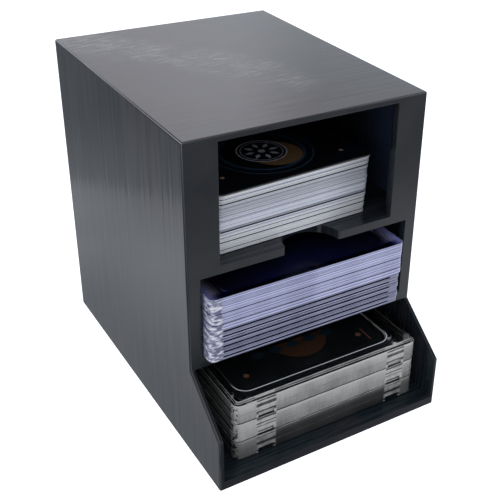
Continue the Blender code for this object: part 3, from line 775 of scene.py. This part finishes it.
window_lip_highlight, tree, shader = new_material("polished_window_lip")
place, x, y, z = place_axes(tree)
near_front = ramp(tree, y, -47 * MM, -52 * MM, 0.04, 0.95)
tone = blend_colours(tree, near_front, (0.0, 0.0, 0.0), (0.93, 0.94, 1.0))
tree.links.new(tone, shader.inputs["Base Color"])
shader.inputs["Roughness"].default_value = 0.15
lip_inner, lip_outer = [], []
for corner_x, corner_y, first in ((LIP_HIGH.x, LIP_HIGH.y, 0.0), (LIP_LOW.x, LIP_HIGH.y, 0.5 * pi),
                                  (LIP_LOW.x, LIP_LOW.y, pi), (LIP_HIGH.x, LIP_LOW.y, 1.5 * pi)):
    centre_x = corner_x - (LIP_CORNER if corner_x > 0 else -LIP_CORNER)
    centre_y = corner_y - (LIP_CORNER if corner_y > 0 else -LIP_CORNER)
    lip_inner += arc(centre_x, centre_y, LIP_CORNER, first, first + 0.5 * pi, 8)
    lip_outer += arc(centre_x, centre_y, LIP_CORNER + LIP_WIDTH, first, first + 0.5 * pi, 8)
lip_parts = band(lip_inner + lip_inner[:1], lip_outer + lip_outer[:1])
lip = flat_shape("case_window_lip", lip_parts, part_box("case_lid_3")[1][2] + PRINT_LIFT, window_lip_highlight)
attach(lip, "case_top_lid")

# Case cards: one black coated card in each case. The top one's print shows through the window: a
# rust half disc with a row of muted teal lozenges over it, two copper dots and a thin copper bar.
CASE_CARD_DARK = (0.018, 0.021, 0.026)
CASE_CARD_PALE = (0.024, 0.028, 0.032)
CASE_CARD_EDGE = (0.08, 0.08, 0.09)
HALF_DISC_X, HALF_DISC_Y = 3.0 * MM, -33.5 * MM
HALF_DISC_RADIUS = 11.0 * MM
LOZENGE_PITCH = 7.2 * MM
LOZENGE_Y = -35.6 * MM
LOZENGE_HALF_WIDTH, LOZENGE_HALF_HEIGHT = 3.2 * MM, 2.4 * MM

case_black, tree, shader = new_material("black_case_card")
place, x, y, z = place_axes(tree)
tone = blend_colours(tree, ramp(tree, cloud(tree, place, 14 * MM, 3.0), 0.45, 0.7), CASE_CARD_DARK,
                     CASE_CARD_PALE)
tone = blend_colours(tree, ramp(tree, lying(tree), 0.9, 0.5), tone, CASE_CARD_EDGE)
tree.links.new(tone, shader.inputs["Base Color"])
tree.links.new(ramp(tree, cloud(tree, place, 1.5 * MM), 0.3, 0.7, 0.32, 0.42), shader.inputs["Roughness"])
for n in (1, 2, 3):
    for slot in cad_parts[f"case_card_{n}"].material_slots:
        slot.material = case_black

copper_ink = ink("copper_ink", (0.62, 0.27, 0.16))
rust_ink = ink("rust_ink", (0.24, 0.10, 0.055))
teal_ink = ink("teal_ink", (0.03, 0.075, 0.11))
case_face_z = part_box("case_card_3")[1][2]
half_disc = arc(HALF_DISC_X, HALF_DISC_Y, HALF_DISC_RADIUS, pi, 2 * pi, 24)
lozenges = []
for index in range(5):
    middle = HALF_DISC_X + (index - 2.4) * LOZENGE_PITCH
    lozenges.append([(middle - LOZENGE_HALF_WIDTH, LOZENGE_Y), (middle, LOZENGE_Y - LOZENGE_HALF_HEIGHT),
                     (middle + LOZENGE_HALF_WIDTH, LOZENGE_Y), (middle, LOZENGE_Y + LOZENGE_HALF_HEIGHT)])
bar = [(26.6 * MM, -47.5 * MM), (27.1 * MM, -47.5 * MM), (27.1 * MM, -40.0 * MM),
       (26.6 * MM, -40.0 * MM)]
case_print = (
    flat_shape("case_card_half_disc", [half_disc], case_face_z + PRINT_LIFT, rust_ink),
    flat_shape("case_card_lozenges", lozenges, case_face_z + 2 * PRINT_LIFT, teal_ink),
    flat_shape("case_card_dots", [disc(-23.4 * MM, -43.6 * MM, 1.1 * MM, 20),
                                  disc(24.2 * MM, -42.9 * MM, 1.1 * MM, 20), bar],
               case_face_z + PRINT_LIFT, copper_ink),
)
for piece in case_print:
    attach(piece, "case_top")

# Studio: a pale light table under the box that reads as plain white to the camera and is shaded
# round the box's foot where the plastic mirrors it, an even pale room that is brighter behind the
# box and darker in one patch of its ceiling, and the photograph's camera, fitted to the box's edges.
TABLE_SIZE = 6.0
TABLE_DROP = 0.05 * MM
TABLE_LIGHT = 1.1
TABLE_SEEN_LIGHT = 1.4
BOX_HALF_WIDTH, BOX_HALF_DEPTH = 0.045, 0.065
FOOT_SHADE = 0.41
FOOT_REACH = 0.06
BESIDE_SHADE = 0.62
PAPER_EDGE = 0.182
PAPER_EDGE_SHADE = 0.65
FAR_SHADE = 0.62
SOFT_SHADOW = 0.79
SOFT_SHADOW_X, SOFT_SHADOW_Y = -0.060, 0.112
FRONT_SHADE = 0.5
FRONT_FOOT_SHADES = (0.5, 0.95)
RIGHT_GLOW = 1.25
ROOM_LIGHT = 0.8
ROOM_TINT = (0.955, 0.98, 1.045)
BACK_LIGHT = 1.0
BACK_GLOW = 0.75
DARK_CEILING = 0.3
DARK_CEILING_WAY = (0.477, -0.353, 0.805)
CAMERA_PLACE = (-0.142946, -0.262616, 0.222661)
CAMERA_RIGHT = (0.84671, -0.5313, 0.02835)
CAMERA_AHEAD = (0.47707, 0.73454, -0.48255)


def way_length(tree, across, along):
    """The length of a way on the table with these two parts."""
    squares = math(tree, "ADD", math(tree, "POWER", across, 2.0), math(tree, "POWER", along, 2.0))
    return math(tree, "SQRT", squares)


table_glow = bpy.data.materials.new("light_table")
table_glow.use_nodes = True
tree = table_glow.node_tree
tree.nodes.remove(tree.nodes["Principled BSDF"])
place, x, y, z = place_axes(tree)
beside_x = math(tree, "SUBTRACT", math(tree, "ABSOLUTE", x), BOX_HALF_WIDTH)
beside_y = math(tree, "SUBTRACT", math(tree, "ABSOLUTE", y), BOX_HALF_DEPTH)
away = way_length(tree, math(tree, "MAXIMUM", beside_x, 0.0), math(tree, "MAXIMUM", beside_y, 0.0))
shadow_way = way_length(tree, math(tree, "SUBTRACT", x, SOFT_SHADOW_X),
                        math(tree, "SUBTRACT", y, SOFT_SHADOW_Y))
leftwards = math(tree, "ADD", product(tree, x, -0.747), product(tree, y, 0.665))

# The table's darker places, in metres from the box's middle: round the foot, beside and behind the box,
# past the paper's left edge, far behind, a soft shadow, far in front and right in front of the foot
front_foot = ramp(tree, y, -0.085, -0.13, ramp(tree, x, -0.03, 0.05, *FRONT_FOOT_SHADES), 1.0)
shades = (
    ramp(tree, away, 0.0, FOOT_REACH, FOOT_SHADE, 1.0),
    ramp(tree, y, 0.05, 0.165, 1.0, BESIDE_SHADE),
    ramp(tree, leftwards, PAPER_EDGE - 0.003, PAPER_EDGE + 0.003, 1.0, PAPER_EDGE_SHADE),
    ramp(tree, y, 0.165, 0.29, 1.0, FAR_SHADE),
    ramp(tree, shadow_way, 0.012, 0.045, SOFT_SHADOW, 1.0),
    ramp(tree, y, -0.11, -0.22, 1.0, FRONT_SHADE),
    ramp(tree, y, -0.060, -0.072, 1.0, front_foot),
)
right_glow = product(tree, ramp(tree, x, 0.02, 0.10, 0.0, RIGHT_GLOW - 1.0),
                     ramp(tree, y, -0.03, -0.09))
strength = product(tree, math(tree, "ADD", 1.0, right_glow), *shades, TABLE_LIGHT)
seen = put(tree, "ShaderNodeLightPath").node.outputs["Is Camera Ray"]
strength = math(tree, "MAXIMUM", strength, product(tree, seen, TABLE_SEEN_LIGHT))
glow = put(tree, "ShaderNodeEmission", {"Color": (*ROOM_TINT, 1.0), "Strength": strength})
tree.links.new(glow, tree.nodes["Material Output"].inputs["Surface"])
shape = bmesh.new()
bmesh.ops.create_grid(shape, x_segments=1, y_segments=1, size=TABLE_SIZE / 2)
bmesh.ops.translate(shape, vec=(0, 0, -TABLE_DROP), verts=shape.verts)
table_mesh = bpy.data.meshes.new("light_table")
shape.to_mesh(table_mesh)
shape.free()
table_mesh.materials.append(table_glow)
table = bpy.data.objects.new("light_table", table_mesh)
scene.collection.objects.link(table)

world = bpy.data.worlds.new("room")
world.use_nodes = True
scene.world = world
tree = world.node_tree
direction = put(tree, "ShaderNodeTexCoord").node.outputs["Generated"]
across, depth, height = put(tree, "ShaderNodeSeparateXYZ", {0: direction}).node.outputs
azimuth = math(tree, "ARCTAN2", across, depth)
to_dark = put(tree, "ShaderNodeVectorMath", {0: direction, 1: DARK_CEILING_WAY},
              operation="DOT_PRODUCT").node.outputs["Value"]
dark_ceiling = ramp(tree, to_dark, cos(radians(26)), cos(radians(14)), 1.0, DARK_CEILING)
behind = ramp(tree, depth, -0.2, 0.3)
back_glow = product(tree, ramp(tree, azimuth, radians(34), radians(28)),
                    ramp(tree, height, sin(radians(14)), sin(radians(24)), 0.1, 1.0),
                    ramp(tree, azimuth, radians(15), radians(28), 0.5, 1.1), BACK_GLOW, behind)
level = math(tree, "ADD", ramp(tree, behind, 0.0, 1.0, ROOM_LIGHT, BACK_LIGHT), back_glow)
level = product(tree, level, dark_ceiling)
background = tree.nodes["Background"]
background.inputs["Color"].default_value = (*ROOM_TINT, 1.0)
tree.links.new(level, background.inputs["Strength"])

camera = bpy.data.cameras.new("camera")
camera.sensor_width = 36.0
camera.lens = 65.166
camera.shift_x, camera.shift_y = -0.1124, -0.0489
camera_stand = bpy.data.objects.new("camera", camera)
scene.collection.objects.link(camera_stand)
right = Vector(CAMERA_RIGHT).normalized()
ahead = Vector(CAMERA_AHEAD).normalized()
up = right.cross(ahead).normalized()
ahead = up.cross(right)
turn = Matrix((right, up, -ahead)).transposed()
camera_stand.matrix_world = Matrix.Translation(CAMERA_PLACE) @ turn.to_4x4()
scene.camera = camera_stand
scene.view_settings.view_transform = "Standard"
